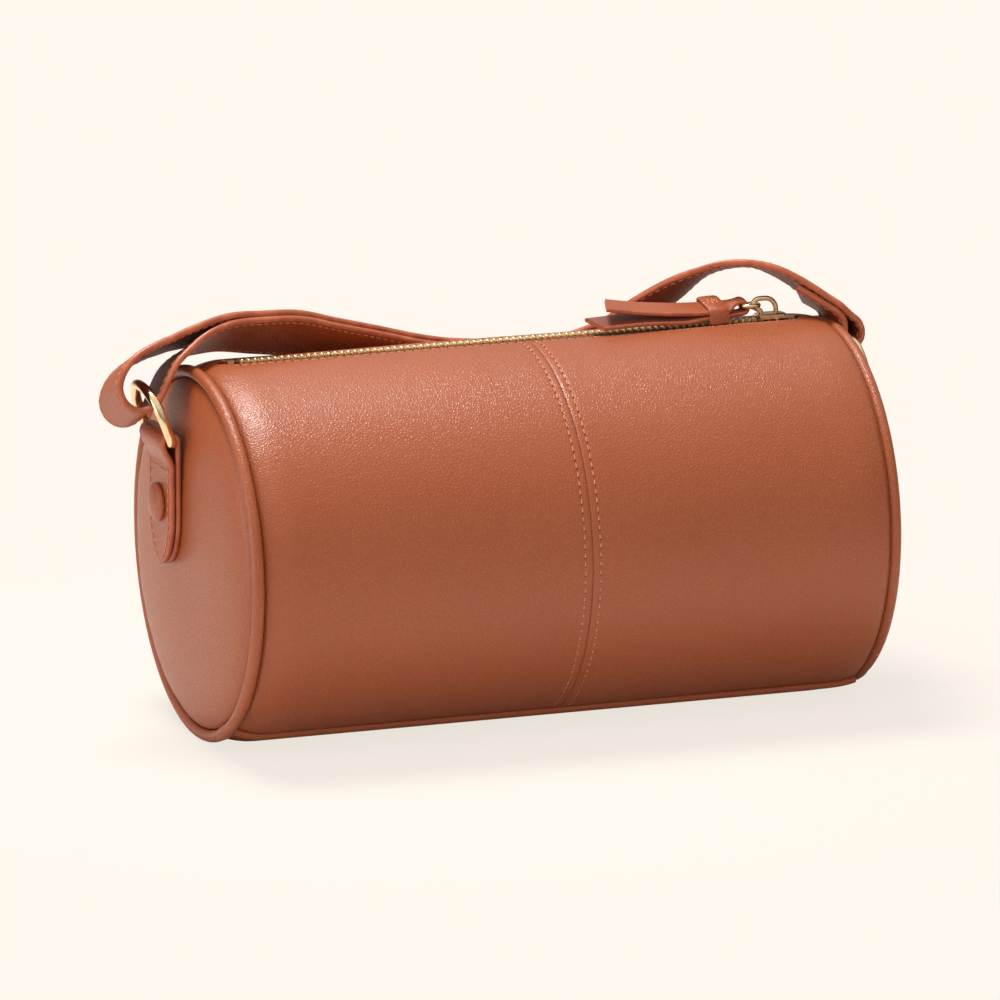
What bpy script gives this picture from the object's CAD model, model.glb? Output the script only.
"""Looks of the barrel bag, in metres. X runs along the barrel, the front faces -Y and +Z is up."""

import logging
import math
from dataclasses import dataclass
from enum import Enum

import bmesh
import bpy
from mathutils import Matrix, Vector, noise

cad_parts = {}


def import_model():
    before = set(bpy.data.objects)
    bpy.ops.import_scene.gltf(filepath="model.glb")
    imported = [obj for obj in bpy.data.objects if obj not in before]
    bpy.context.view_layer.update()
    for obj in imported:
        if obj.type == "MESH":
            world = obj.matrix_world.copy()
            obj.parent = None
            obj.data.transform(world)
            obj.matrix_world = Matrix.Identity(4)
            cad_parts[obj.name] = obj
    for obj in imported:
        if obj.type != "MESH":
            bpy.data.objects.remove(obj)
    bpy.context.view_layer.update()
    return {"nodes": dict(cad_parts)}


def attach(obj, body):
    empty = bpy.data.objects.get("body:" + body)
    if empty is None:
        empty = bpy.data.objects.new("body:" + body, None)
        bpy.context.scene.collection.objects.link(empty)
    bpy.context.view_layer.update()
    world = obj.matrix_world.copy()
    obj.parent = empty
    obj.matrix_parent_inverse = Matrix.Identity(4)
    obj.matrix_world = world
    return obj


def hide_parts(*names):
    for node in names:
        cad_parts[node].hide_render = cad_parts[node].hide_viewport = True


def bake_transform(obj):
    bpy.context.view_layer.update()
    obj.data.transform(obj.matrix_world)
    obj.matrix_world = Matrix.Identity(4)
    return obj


log = logging.getLogger("barrel_bag")

MM = 0.001


class End(Enum):
    """The two ends of the barrel, by the sign of X."""

    LEFT = -1
    RIGHT = 1


class Face(Enum):
    """The two long faces of the barrel, by the sign of Y."""

    FRONT = -1
    BACK = 1


def srgb(red: int, green: int, blue: int) -> tuple[float, float, float, float]:
    """A linear colour from the three numbers of a screen colour.

    Args:
        red: red, 0 to 255.
        green: green, 0 to 255.
        blue: blue, 0 to 255.

    Returns:
        The linear colour with full alpha.
    """
    return *(((c / 255 + 0.055) / 1.055) ** 2.4 for c in (red, green, blue)), 1.0


def ease(t: float) -> float:
    """A smooth step from 0 to 1."""
    t = min(max(t, 0.0), 1.0)
    return t * t * (3 - 2 * t)


def blunted(value: float, power: float) -> float:
    """A sine or cosine to a power with its sign kept, for an outline between a circle and a square."""
    return math.copysign(abs(value) ** power, value)


def full_turn(count: int, start: float = 0.0) -> list[float]:
    """Evenly spaced angles round a circle, from a start given as a share of the spacing."""
    return [2 * math.pi * (k + start) / count for k in range(count)]


# ------------------------------------------------------------------ shader maths


class Value:
    """A socket that takes part in shader maths."""

    def __init__(self, sheet: "Sheet", socket: bpy.types.NodeSocket) -> None:
        """Keeps the socket and the sheet that it is on."""
        self.sheet = sheet
        self.socket = socket

    def maths(self, operation: str, *others: "Value | float") -> "Value":
        """This value joined to others by one Math node."""
        return self.sheet.node("ShaderNodeMath", {"operation": operation}, dict(enumerate((self, *others))))

    def __add__(self, other: "Value | float") -> "Value":
        """The sum."""
        return self.maths("ADD", other)

    def __radd__(self, other: float) -> "Value":
        """The sum, with the number first."""
        return self.maths("ADD", other)

    def __mul__(self, other: "Value | float") -> "Value":
        """The product."""
        return self.maths("MULTIPLY", other)

    def __rmul__(self, other: float) -> "Value":
        """The product, with the number first."""
        return self.maths("MULTIPLY", other)

    def __sub__(self, other: "Value | float") -> "Value":
        """The difference."""
        return self.maths("SUBTRACT", other)

    def __rsub__(self, other: float) -> "Value":
        """A number less this value."""
        return self.maths("MULTIPLY_ADD", -1.0, other)

    def stretched(self, low: float, high: float, to_low: float = 0.0, to_high: float = 1.0) -> "Value":
        """This value with one range smoothly mapped to another."""
        return self.sheet.node(
            "ShaderNodeMapRange",
            {"interpolation_type": "SMOOTHSTEP"},
            {"Value": self, "From Min": low, "From Max": high, "To Min": to_low, "To Max": to_high},
        )


class Sheet:
    """The node sheet of one material, or of the world."""

    def __init__(self, name: str, world: bpy.types.World | None = None) -> None:
        """Starts an empty sheet.

        Args:
            name: the name of the new material.
            world: the world whose sheet it is, if it isn't a material's.
        """
        self.owner = world or bpy.data.materials.new(name)
        self.owner.use_nodes = True
        self.nodes = self.owner.node_tree.nodes
        self.links = self.owner.node_tree.links
        self.nodes.clear()

    def node(
        self, kind: str, settings: dict | None = None, inputs: dict | None = None, output: int | str = 0,
    ) -> Value:
        """Adds a node.

        Args:
            kind: the node's type name.
            settings: the node's own settings, set first.
            inputs: values or Values by the input's name or number.
            output: which output is wanted.

        Returns:
            The wanted output.
        """
        made = self.nodes.new(kind)
        for name, value in (settings or {}).items():
            setattr(made, name, value)
        for key, value in (inputs or {}).items():
            if isinstance(key, int):
                socket = made.inputs[key]
            else:
                socket = next(s for s in made.inputs if s.name == key and s.enabled)
            if isinstance(value, Value):
                self.links.new(value.socket, socket)
            else:
                socket.default_value = value
        if isinstance(output, str):
            return Value(self, next(s for s in made.outputs if s.name == output and s.enabled))
        return Value(self, made.outputs[output])

    def place(self) -> Value:
        """The point on the object."""
        return self.node("ShaderNodeTexCoord", output="Object")

    def speckle(self, scale: float, detail: float = 2.0) -> Value:
        """Cloudy noise of so many lumps per metre."""
        inputs = {"Vector": self.place(), "Scale": scale, "Detail": detail}
        return self.node("ShaderNodeTexNoise", inputs=inputs)

    def warped(self, scale: float, amount: float) -> Value:
        """The point on the object, pushed about by noise.

        Args:
            scale: lumps of the noise per metre.
            amount: how far it pushes, in metres.

        Returns:
            The pushed point.
        """
        inputs = {"Vector": self.place(), "Scale": scale}
        shift = self.node("ShaderNodeTexNoise", inputs=inputs, output="Color")
        centred = self.node("ShaderNodeVectorMath", {"operation": "SUBTRACT"}, {0: shift, 1: (0.5, 0.5, 0.5)})
        scaled = self.node("ShaderNodeVectorMath", {"operation": "SCALE"}, {0: centred, "Scale": amount})
        return self.node("ShaderNodeVectorMath", {"operation": "ADD"}, {0: self.place(), 1: scaled})

    def mixed(self, factor: Value, low: tuple, high: tuple | Value) -> Value:
        """A colour between two, by a factor."""
        return self.node(
            "ShaderNodeMix", {"data_type": "RGBA"}, {"Factor": factor, "A": low, "B": high}, output="Result"
        )

    def raised(self, height: Value, distance: float) -> Value:
        """A surface direction from a height of 0 to 1 that stands for so many metres."""
        return self.node("ShaderNodeBump", inputs={"Height": height, "Distance": distance})

    def finished(self, **inputs: "Value | float | tuple") -> bpy.types.Material:
        """The material, from the main shader's inputs given with underscores for spaces."""
        named = {key.replace("_", " "): value for key, value in inputs.items()}
        return self.shown(self.node("ShaderNodeBsdfPrincipled", inputs=named))

    def shown(self, shader: Value, output: str = "ShaderNodeOutputMaterial") -> bpy.types.Material:
        """Sends the final shader to the sheet's output.

        Args:
            shader: the final shader.
            output: the type of the output node.

        Returns:
            The material or world.
        """
        out = self.nodes.new(output)
        self.links.new(shader.socket, out.inputs["Surface"])
        return self.owner


@dataclass(frozen=True)
class Leather:
    """Pebbled leather with a soft gloss.

    Attributes:
        name: the material's name.
        colour: the colour of the raised grain.
        crease: the colour in the creases.
        grains: grains per metre.
        depth: height of the grain, in metres.
        gloss: roughness of the finish.
        crease_width: width of the creases, as a share of a grain.
        pores: pores across a grain.
        swells: soft swellings per metre.
        clouds: cloudy patches of colour per metre.
        ior: how strongly the finish reflects.
    """

    name: str
    colour: tuple
    crease: tuple
    grains: float = 900.0
    depth: float = 0.00014
    gloss: float = 0.34
    crease_width: float = 0.42
    pores: float = 2.6
    swells: float = 260.0
    clouds: float = 22.0
    ior: float = 1.52

    def material(self) -> bpy.types.Material:
        """Builds the leather.

        Returns:
            The material.
        """
        sheet = Sheet(self.name)
        at = sheet.warped(self.grains * 0.45, 0.9 / self.grains)
        cells = sheet.node(
            "ShaderNodeTexVoronoi",
            {"feature": "DISTANCE_TO_EDGE"},
            {"Vector": at, "Scale": self.grains, "Randomness": 1.0},
        )
        pebble = cells.stretched(0.0, self.crease_width)
        pores = sheet.speckle(self.grains * self.pores, 2.0)
        swell = sheet.speckle(self.swells, 3.0)
        clouds = sheet.speckle(self.clouds, 3.0)
        height = pebble * 0.62 + pores * 0.16 + swell * 0.55
        shade = pebble.stretched(0.0, 1.0, 0.45, 1.0) * (clouds * 0.5 + 0.72)
        return sheet.finished(
            Base_Color=sheet.mixed(shade, self.crease, self.colour),
            Roughness=(1 - pebble) * 0.1 + clouds * 0.12 + (self.gloss - 0.08),
            Normal=sheet.raised(height, self.depth),
            IOR=self.ior,
        )


@dataclass(frozen=True)
class PaintedEdge:
    """The smooth painted edge of a cut strip.

    Attributes:
        name: the material's name.
        colour: the colour of the paint.
        worn: its colour where it is rubbed.
        rubs: rubbed spots per metre.
        ripples: ripples in the paint per metre.
        depth: height of the ripples, in metres.
    """

    name: str
    colour: tuple
    worn: tuple
    rubs: float = 180.0
    ripples: float = 900.0
    depth: float = 0.00004

    def material(self) -> bpy.types.Material:
        """Builds the edge paint.

        Returns:
            The material.
        """
        sheet = Sheet(self.name)
        wear = sheet.speckle(self.rubs, 4.0).stretched(0.35, 0.7)
        ripple = sheet.speckle(self.ripples, 2.0)
        return sheet.finished(
            Base_Color=sheet.mixed(wear, self.colour, self.worn),
            Roughness=wear * 0.12 + 0.34,
            Normal=sheet.raised(ripple, self.depth),
        )


@dataclass(frozen=True)
class Metal:
    """Plated or polished metal with fine brush marks and soft tarnish.

    Attributes:
        name: the material's name.
        colour: the colour of the bright metal.
        tarnish: its colour where it has dulled.
        gloss: roughness of the bright metal.
        spots: dulled spots per metre.
        marks: brush marks per metre.
        depth: height of the marks, in metres.
    """

    name: str
    colour: tuple
    tarnish: tuple
    gloss: float
    spots: float = 340.0
    marks: float = 2600.0
    depth: float = 0.000006

    def material(self) -> bpy.types.Material:
        """Builds the metal.

        Returns:
            The material.
        """
        sheet = Sheet(self.name)
        dulled = sheet.speckle(self.spots, 4.0).stretched(0.45, 0.8)
        marks = sheet.speckle(self.marks, 3.0)
        return sheet.finished(
            Base_Color=sheet.mixed(dulled, self.colour, self.tarnish),
            Metallic=1.0,
            Roughness=dulled * 0.14 + marks * 0.05 + self.gloss,
            Normal=sheet.raised(marks, self.depth),
        )


@dataclass(frozen=True)
class Woven:
    """Plain woven cloth, tape or cord.

    Attributes:
        name: the material's name.
        colour: the colour on top of the yarns.
        gap: the colour between them.
        yarns: yarns per metre.
        depth: height of the weave, in metres.
        yarns_per_scale: about how many light and dark bands per metre the pattern has at a scale of 1.
    """

    name: str
    colour: tuple
    gap: tuple
    yarns: float = 2600.0
    depth: float = 0.00008
    yarns_per_scale: float = 6.28

    def material(self) -> bpy.types.Material:
        """Builds the cloth.

        Returns:
            The material.
        """
        sheet = Sheet(self.name)
        waves = [
            sheet.node(
                "ShaderNodeTexWave",
                {"wave_type": "BANDS", "bands_direction": way},
                {"Vector": sheet.place(), "Scale": self.yarns / self.yarns_per_scale, "Distortion": 0.6,
                 "Detail": 1.0},
                output="Fac",
            )
            for way in ("X", "DIAGONAL")
        ]
        weave = waves[0] * 0.5 + waves[1] * 0.5
        fuzz = sheet.speckle(self.yarns * 1.5)
        return sheet.finished(
            Base_Color=sheet.mixed(weave * 0.7 + fuzz * 0.3, self.gap, self.colour),
            Roughness=fuzz * 0.1 + 0.82,
            Normal=sheet.raised(weave, self.depth),
        )


@dataclass(frozen=True)
class Board:
    """Pressed fibre board or foam, speckled and matte.

    Attributes:
        name: the material's name.
        colour: its main colour.
        fleck: the colour of its flecks.
        flecks: flecks per metre.
        depth: height of the flecks, in metres.
    """

    name: str
    colour: tuple
    fleck: tuple
    flecks: float = 700.0
    depth: float = 0.00006

    def material(self) -> bpy.types.Material:
        """Builds the board.

        Returns:
            The material.
        """
        sheet = Sheet(self.name)
        flecks = sheet.speckle(self.flecks, 5.0)
        return sheet.finished(
            Base_Color=sheet.mixed(flecks, self.colour, self.fleck),
            Roughness=flecks * 0.1 + 0.85,
            Normal=sheet.raised(flecks, self.depth),
        )


COGNAC = srgb(160, 82, 43)
COGNAC_DEEP = srgb(138, 66, 33)


class Finishes:
    """Every finish of the bag, made once."""

    def __init__(self) -> None:
        """Builds the materials."""
        self.leather = Leather("cognac_leather", COGNAC, COGNAC_DEEP).material()
        self.strap_leather = Leather(
            "strap_leather", srgb(166, 84, 46), srgb(136, 62, 34), 1100.0, 0.00013
        ).material()
        self.back_leather = Leather(
            "strap_backing", srgb(134, 68, 50), srgb(104, 50, 38), 1300.0, 0.0001, 0.5
        ).material()
        self.edge = PaintedEdge("painted_edge", srgb(158, 78, 48), srgb(180, 98, 64)).material()
        self.thread = Woven("sewing_thread", srgb(218, 146, 108), srgb(184, 112, 76), 5200.0).material()
        self.hole = Woven("needle_hole", srgb(98, 48, 30), srgb(70, 32, 20), 5200.0).material()
        self.gold = Metal("pale_gold_plate", srgb(240, 214, 170), srgb(222, 190, 138), 0.13).material()
        self.brass = Metal("zip_brass", srgb(250, 226, 184), srgb(232, 198, 144), 0.32).material()
        self.tape = Woven("zip_tape", srgb(140, 72, 44), srgb(84, 40, 24)).material()
        self.lining = Woven("lining_cloth", srgb(176, 152, 124), srgb(120, 98, 76)).material()
        self.cord = Woven("filler_cord", srgb(214, 204, 188), srgb(160, 150, 132), 1400.0).material()
        self.board = Board("fibre_board", srgb(176, 160, 136), srgb(132, 116, 94)).material()
        self.foam = Board("foam_padding", srgb(226, 220, 206), srgb(204, 196, 180)).material()


# ------------------------------------------------------------------ mesh helpers


def new_object(
    name: str, points: list[Vector], faces: list[tuple[int, ...]], materials: list[bpy.types.Material],
    indices: list[int] | None = None,
) -> bpy.types.Object:
    """A smooth mesh object.

    Args:
        name: the object's name.
        points: its vertices.
        faces: its faces as vertex numbers.
        materials: its materials.
        indices: the material number of each face.

    Returns:
        The object, linked to the scene.
    """
    mesh = bpy.data.meshes.new(name)
    mesh.from_pydata([tuple(p) for p in points], [], faces)
    for material in materials:
        mesh.materials.append(material)
    if indices:
        mesh.polygons.foreach_set("material_index", indices)
    mesh.shade_smooth()
    obj = bpy.data.objects.new(name, mesh)
    bpy.context.scene.collection.objects.link(obj)
    return obj


def cleaned(obj: bpy.types.Object, sharp: float = 50.0) -> bpy.types.Object:
    """Merges doubles, turns the faces outward and marks the sharp edges.

    Args:
        obj: the object to clean.
        sharp: the angle in degrees past which an edge is sharp.

    Returns:
        The same object.
    """
    work = bmesh.new()
    work.from_mesh(obj.data)
    bmesh.ops.remove_doubles(work, verts=work.verts, dist=1e-7)
    bmesh.ops.recalc_face_normals(work, faces=work.faces)
    work.to_mesh(obj.data)
    work.free()
    obj.data.shade_smooth()
    obj.data.set_sharp_from_angle(angle=math.radians(sharp))
    return obj


def applied(obj: bpy.types.Object) -> bpy.types.Object:
    """Turns the object's modifiers into plain mesh.

    Args:
        obj: the object with the modifiers.

    Returns:
        The same object.
    """
    evaluated = obj.evaluated_get(bpy.context.evaluated_depsgraph_get())
    mesh = bpy.data.meshes.new_from_object(evaluated)
    obj.modifiers.clear()
    obj.data = mesh
    return obj


def grid_faces(rows: int, columns: int, wrap_rows: bool = False, wrap_columns: bool = False) -> list[tuple]:
    """Four-sided faces over a grid of points listed row by row.

    Args:
        rows: rows of points.
        columns: points in each row.
        wrap_rows: whether the last row joins the first.
        wrap_columns: whether each row joins up.

    Returns:
        The faces as vertex numbers.
    """
    last_row = rows if wrap_rows else rows - 1
    last_column = columns if wrap_columns else columns - 1
    return [
        (r * columns + c, r * columns + (c + 1) % columns,
         (r + 1) % rows * columns + (c + 1) % columns, (r + 1) % rows * columns + c)
        for r in range(last_row)
        for c in range(last_column)
    ]


def capped_faces(rows: int, columns: int) -> list[tuple]:
    """The faces of a tube of closed rows, with a flat face on each end."""
    caps = [tuple(reversed(range(columns))), tuple(range((rows - 1) * columns, rows * columns))]
    return grid_faces(rows, columns, wrap_columns=True) + caps


def walled(obj: bpy.types.Object, thickness: float) -> bpy.types.Object:
    """Gives an outward-facing sheet its thickness, inward.

    Args:
        obj: the sheet.
        thickness: its thickness.

    Returns:
        The same object.
    """
    wall = obj.modifiers.new("wall", "SOLIDIFY")
    wall.thickness = thickness
    wall.offset = -1
    wall.use_rim = True
    return applied(obj)


def settle(obj: bpy.types.Object, body: str, node: str) -> None:
    """Puts a piece on a body, in the place of a built node.

    Args:
        obj: the piece.
        body: the body that carries it.
        node: the node that it stands for.
    """
    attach(obj, body)
    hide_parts(node)


def tube(
    name: str, path: list[Vector], radius: float, material: bpy.types.Material, closed: bool = False,
    sides: int = 20,
) -> bpy.types.Object:
    """A round wire or welt along a path.

    Args:
        name: the object's name.
        path: the points of its middle line.
        radius: its radius.
        material: its finish.
        closed: whether the path joins up.
        sides: how many points round it.

    Returns:
        The object.
    """
    count = len(path)
    points: list[Vector] = []
    side = None
    for i, at in enumerate(path):
        before = path[i - 1] if closed or i else at
        after = path[(i + 1) % count] if closed or i < count - 1 else at
        along = (after - before).normalized()
        if side is None:
            side = along.orthogonal().normalized()
        side = (side - along * side.dot(along)).normalized()
        across = along.cross(side)
        points += [at + radius * (math.cos(t) * side + math.sin(t) * across) for t in full_turn(sides)]
    if closed:
        faces = grid_faces(count, sides, wrap_rows=True, wrap_columns=True)
    else:
        faces = capped_faces(count, sides)
    return cleaned(new_object(name, points, faces, [material]))


def rounded_path(
    corners: list[Vector], radii: list[float], closed: bool = False, step: int = 8,
) -> list[Vector]:
    """Points along straight runs joined by arcs.

    Args:
        corners: the corners of the runs.
        radii: the arc's radius at each corner.
        closed: whether the last corner joins the first.
        step: steps in each arc.

    Returns:
        The points of the line.
    """
    points: list[Vector] = []
    count = len(corners)
    for i, (corner, radius) in enumerate(zip(corners, radii)):
        if not closed and i in (0, count - 1):
            points.append(corner)
            continue
        back = (corners[i - 1] - corner).normalized()
        on = (corners[(i + 1) % count] - corner).normalized()
        half = back.angle(on) / 2
        centre = corner + (back + on).normalized() * (radius / math.sin(half))
        start = corner + back * (radius / math.tan(half)) - centre
        end = corner + on * (radius / math.tan(half)) - centre
        sweep = start.angle(end)
        for k in range(step + 1):
            t = k / step
            points.append(
                centre + (start * math.sin((1 - t) * sweep) + end * math.sin(t * sweep)) / math.sin(sweep)
            )
    return points


# ------------------------------------------------------------------ repeated pieces


class Repeats:
    """Geometry Nodes that lay a small shape along lines or at points."""

    def __init__(self) -> None:
        """Builds both trees."""
        self.stitch_tree = self._stitches()
        self.place_tree = self._places()

    @staticmethod
    def _tree(name: str, inputs: list[tuple[str, str]]) -> bpy.types.NodeTree:
        """Starts a tree.

        Args:
            name: the tree's name.
            inputs: the label and socket type of each input after the lines.

        Returns:
            The tree, with its sockets and no nodes.
        """
        tree = bpy.data.node_groups.new(name, "GeometryNodeTree")
        tree.interface.new_socket("Lines", in_out="INPUT", socket_type="NodeSocketGeometry")
        for label, kind in inputs:
            tree.interface.new_socket(label, in_out="INPUT", socket_type=kind)
        tree.interface.new_socket("Pieces", in_out="OUTPUT", socket_type="NodeSocketGeometry")
        return tree

    @staticmethod
    def _chain(
        tree: bpy.types.NodeTree, source: bpy.types.NodeSocket, material: bpy.types.NodeSocket,
    ) -> None:
        """Ends a tree: makes the pieces real, gives them their material and hands them out.

        Args:
            tree: the tree.
            source: the pieces' instances.
            material: their material.
        """
        real = tree.nodes.new("GeometryNodeRealizeInstances")
        dressed = tree.nodes.new("GeometryNodeSetMaterial")
        out = tree.nodes.new("NodeGroupOutput")
        tree.links.new(source, real.inputs["Geometry"])
        tree.links.new(real.outputs[0], dressed.inputs["Geometry"])
        tree.links.new(material, dressed.inputs["Material"])
        tree.links.new(dressed.outputs[0], out.inputs["Pieces"])

    def _stitches(self) -> bpy.types.NodeTree:
        """Builds the tree of stitches along lines.

        Returns:
            The tree.
        """
        tree = self._tree(
            "stitch_row",
            [("Pitch", "NodeSocketFloat"), ("Length", "NodeSocketFloat"), ("Thread", "NodeSocketFloat"),
             ("Material", "NodeSocketMaterial")],
        )
        nodes, links = tree.nodes, tree.links
        given = nodes.new("NodeGroupInput")
        line = nodes.new("GeometryNodeMeshToCurve")
        spaced = nodes.new("GeometryNodeResampleCurve")
        spaced.mode = "LENGTH"
        along = nodes.new("GeometryNodeInputTangent")
        turn = nodes.new("FunctionNodeAlignRotationToVector")
        turn.axis = "Z"
        bead = nodes.new("GeometryNodeMeshUVSphere")
        bead.inputs["Segments"].default_value = 7
        bead.inputs["Rings"].default_value = 6
        bead.inputs["Radius"].default_value = 0.5
        size = nodes.new("ShaderNodeCombineXYZ")
        shaped = nodes.new("GeometryNodeTransform")
        put = nodes.new("GeometryNodeInstanceOnPoints")
        smooth = nodes.new("GeometryNodeSetShadeSmooth")
        links.new(given.outputs["Lines"], line.inputs["Mesh"])
        links.new(line.outputs[0], spaced.inputs["Curve"])
        links.new(given.outputs["Pitch"], spaced.inputs["Length"])
        links.new(given.outputs["Thread"], size.inputs["X"])
        links.new(given.outputs["Thread"], size.inputs["Y"])
        links.new(given.outputs["Length"], size.inputs["Z"])
        links.new(bead.outputs["Mesh"], shaped.inputs["Geometry"])
        links.new(size.outputs[0], shaped.inputs["Scale"])
        links.new(shaped.outputs[0], smooth.inputs["Geometry"])
        links.new(along.outputs[0], turn.inputs["Vector"])
        links.new(spaced.outputs[0], put.inputs["Points"])
        links.new(smooth.outputs[0], put.inputs["Instance"])
        links.new(turn.outputs[0], put.inputs["Rotation"])
        self._chain(tree, put.outputs[0], given.outputs["Material"])
        return tree

    def _places(self) -> bpy.types.NodeTree:
        """Builds the tree of a shape at each point.

        Returns:
            The tree.
        """
        tree = self._tree(
            "shape_at_points", [("Shape", "NodeSocketObject"), ("Material", "NodeSocketMaterial")]
        )
        given = tree.nodes.new("NodeGroupInput")
        shape = tree.nodes.new("GeometryNodeObjectInfo")
        put = tree.nodes.new("GeometryNodeInstanceOnPoints")
        tree.links.new(given.outputs["Shape"], shape.inputs["Object"])
        tree.links.new(given.outputs["Lines"], put.inputs["Points"])
        tree.links.new(shape.outputs["Geometry"], put.inputs["Instance"])
        self._chain(tree, put.outputs[0], given.outputs["Material"])
        return tree

    @staticmethod
    def _grown(
        name: str, tree: bpy.types.NodeTree, points: list[Vector], edges: list[tuple[int, int]], inputs: dict,
    ) -> bpy.types.Object:
        """Runs a tree over points and edges and keeps the plain mesh that it makes.

        Args:
            name: the object's name.
            tree: the tree.
            points: the points of its lines.
            edges: the edges between them.
            inputs: the tree's inputs by their label.

        Returns:
            The object.
        """
        mesh = bpy.data.meshes.new(name)
        mesh.from_pydata([tuple(p) for p in points], edges, [])
        obj = bpy.data.objects.new(name, mesh)
        bpy.context.scene.collection.objects.link(obj)
        grown = obj.modifiers.new("grown", "NODES")
        grown.node_group = tree
        for item in tree.interface.items_tree:
            if item.name in inputs:
                grown[item.identifier] = inputs[item.name]
        return applied(obj)

    def stitches(
        self, name: str, lines: list[list[Vector]], material: bpy.types.Material, pitch: float = 3.2 * MM,
        length: float = 2.5 * MM, thread: float = 0.55 * MM,
    ) -> bpy.types.Object:
        """Rows of stitches.

        Args:
            name: the object's name.
            lines: the lines that the rows follow.
            material: the thread's finish.
            pitch: from one stitch to the next.
            length: length of a stitch.
            thread: its thickness.

        Returns:
            One mesh with every stitch.
        """
        points: list[Vector] = []
        edges: list[tuple[int, int]] = []
        for line in lines:
            first = len(points)
            points += line
            edges += [(first + i, first + i + 1) for i in range(len(line) - 1)]
        given = {"Pitch": pitch, "Length": length, "Thread": thread, "Material": material}
        return self._grown(name, self.stitch_tree, points, edges, given)

    def placed(
        self, name: str, shape: bpy.types.Object, points: list[Vector], material: bpy.types.Material,
    ) -> bpy.types.Object:
        """One mesh with a copy of a shape at each point."""
        return self._grown(name, self.place_tree, points, [], {"Shape": shape, "Material": material})


# ------------------------------------------------------------------ the barrel's form


@dataclass(frozen=True)
class BarrelForm:
    """The driving sizes of the bag, and where a point on its outside lies.

    Attributes:
        half_length: from the bag's middle to the middle of the piping.
        panel_end: from the middle to where the body panels go under the piping.
        tuck: how far their leather runs past that.
        radius: outside radius of the barrel.
        shoulder_drop: how far the panels turn in at their ends.
        shoulder_length: where that turn starts, from the middle of the piping.
        right_share: the share of the drop that the right end has.
        axis_height: height of the barrel's axis.
        leather: thickness of the leather.
        piping: radius of the covered piping.
        zip_angle: how far back from the top the zip lies.
        zip_reach: from the barrel's axis to the middle of the teeth.
        lip: half the width of the zip's mouth.
        lip_dip: how far the leather sinks towards the zip.
        lip_roll: width of that sinking.
        closed_lip: half the width of the mouth where it has closed.
        mouth_end: from the middle to where the mouth starts to close.
        closing: length over which it closes.
        seam: place of the centre seam along the barrel.
        base_angle: half the angle that the base panel takes.
        welt: radius of the welts beside the base.
        ring_bar_x: from the middle to the rings' pivots.
        pivot_height: height of the rings' pivots.
        left_lean: how far the left ring leans out at rest.
        right_lean: the same for the right ring, which leans in.
    """

    half_length: float = 120 * MM
    panel_end: float = 117.5 * MM
    tuck: float = 0.2 * MM
    radius: float = 68 * MM
    shoulder_drop: float = 3 * MM
    shoulder_length: float = 15 * MM
    right_share: float = 0.5
    axis_height: float = 66.8 * MM
    leather: float = 1.4 * MM
    piping: float = 2.2 * MM
    zip_angle: float = math.radians(5.5)
    zip_reach: float = 66.8 * MM
    lip: float = 5.8 * MM
    lip_dip: float = 0.6 * MM
    lip_roll: float = 7 * MM
    closed_lip: float = 0.12 * MM
    mouth_end: float = 105 * MM
    closing: float = 7.5 * MM
    seam: float = 4 * MM
    base_angle: float = math.radians(28)
    welt: float = 1.5 * MM
    ring_bar_x: float = 131.95 * MM
    pivot_height: float = 108.8 * MM
    left_lean: float = math.radians(20)
    right_lean: float = math.radians(-14.5)

    @property
    def ring_y(self) -> float:
        """How far back the rings stand."""
        return self.zip_reach * math.sin(self.zip_angle)

    def radius_at(self, x: float) -> float:
        """The outside radius, which an arc draws in at both ends.

        Args:
            x: place along the barrel.

        Returns:
            The radius.
        """
        run = self.panel_end - (self.half_length - self.shoulder_length)
        bend = (run ** 2 + self.shoulder_drop ** 2) / (2 * self.shoulder_drop)
        past = min(max(abs(x) - (self.half_length - self.shoulder_length), 0.0), run)
        share = 1.0 if x < 0 else self.right_share
        return self.radius - share * (bend - math.sqrt(bend ** 2 - past ** 2))

    def point(self, x: float, angle: float, lift: float = 0.0) -> Vector:
        """A point above the outside.

        Args:
            x: place along the barrel.
            angle: how far round from the top, towards the back.
            lift: height above the leather.

        Returns:
            The point, pressed flat where the bag stands.
        """
        reach = self.radius_at(x) + lift
        high = self.axis_height + reach * math.cos(angle)
        return Vector((x, reach * math.sin(angle), max(high, max(-lift, 0.0))))

    def zip_point(self, x: float, across: float, height: float) -> Vector:
        """A point given from the zip's middle line.

        Args:
            x: place along the barrel.
            across: distance from the middle line, towards the back.
            height: distance from the barrel's axis.

        Returns:
            The point.
        """
        sine, cosine = math.sin(self.zip_angle), math.cos(self.zip_angle)
        high = self.axis_height + height * cosine - across * sine
        return Vector((x, height * sine + across * cosine, high))

    def lip_half_width(self, x: float) -> float:
        """Half the width of the zip's mouth at a place along the barrel; it closes at both ends."""
        return self.lip - (self.lip - self.closed_lip) * self.closed(x)

    def closed(self, x: float) -> float:
        """How far the zip's mouth has closed at a place along the barrel, from 0 to 1."""
        return ease((abs(x) - self.mouth_end) / self.closing)


# ------------------------------------------------------------------ barrel

# Distances from a seam or an edge in millimetres, close together where the leather turns.
SEAM_STEPS = (0.0, 0.15, 0.35, 0.6, 0.9, 1.3, 1.8, 2.3, 2.9, 3.5, 4.2, 5.2)
SHOULDER_STEPS = (0.0, 0.2, 0.45, 0.8, 1.2, 1.8, 2.6, 3.6, 5.0, 6.6, 8.4, 10.4, 12.6)
LIP_STEPS = (0.0, 0.15, 0.35, 0.6, 0.9, 1.3, 1.8, 2.3, 2.9, 3.6, 4.6, 6.0, 8.0)
BASE_STEPS = (0.0, 0.2, 0.45, 0.8, 1.2, 1.8, 2.6, 3.6, 5.0, 7.0, 9.5, 12.5)


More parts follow.
